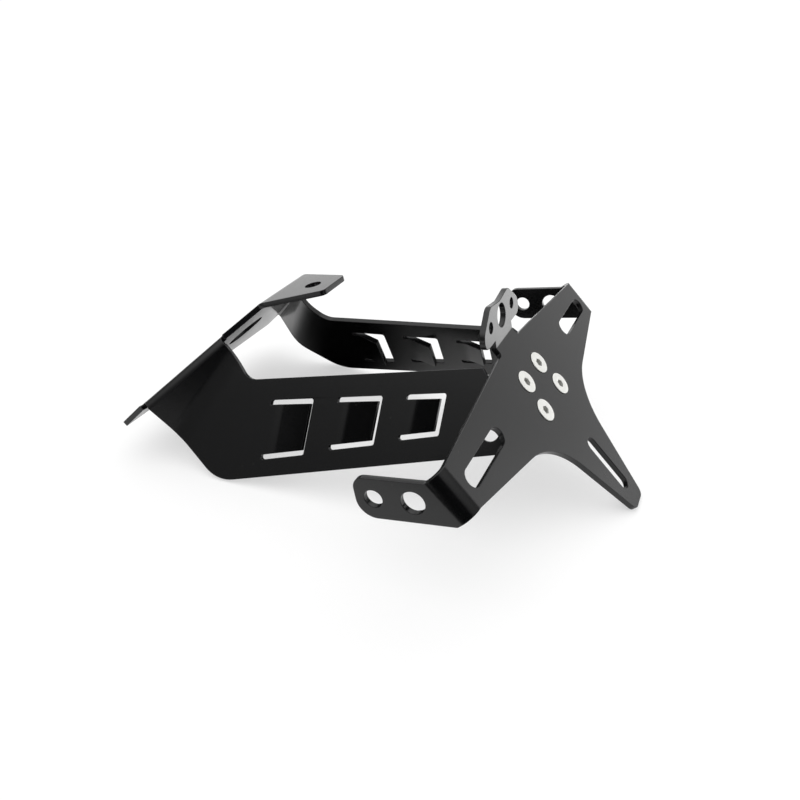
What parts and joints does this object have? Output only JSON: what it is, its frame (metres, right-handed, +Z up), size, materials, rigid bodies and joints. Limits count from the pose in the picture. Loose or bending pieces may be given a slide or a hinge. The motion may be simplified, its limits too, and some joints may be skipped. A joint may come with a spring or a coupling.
{
  "type": "motorcycle tail tidy",
  "caption": "Folded black sheet carrier for a motorcycle's tail, with louvered arms and a tilted slotted plate for the number plate, its light and the turn signals.",
  "frame": {"origin": "on the floor under the middle of the box around the object, as it stands on its arms' feet and the plate's lower end", "axes": "+X to the motorcycle's rear, +Y to its left, +Z up; the object is the same on both sides of the XZ plane"},
  "size_m": [0.271, 0.2218, 0.1006],
  "materials": {
    "black_sheet": "satin black coat",
    "screw_steel": "bright plated"
  },
  "bodies": {
    "root": {"main_bracket": "black_sheet", "plate_bracket": "black_sheet", "countersunk_screws": "screw_steel", "lock_nuts": "screw_steel"}
  },
  "joints": []
}
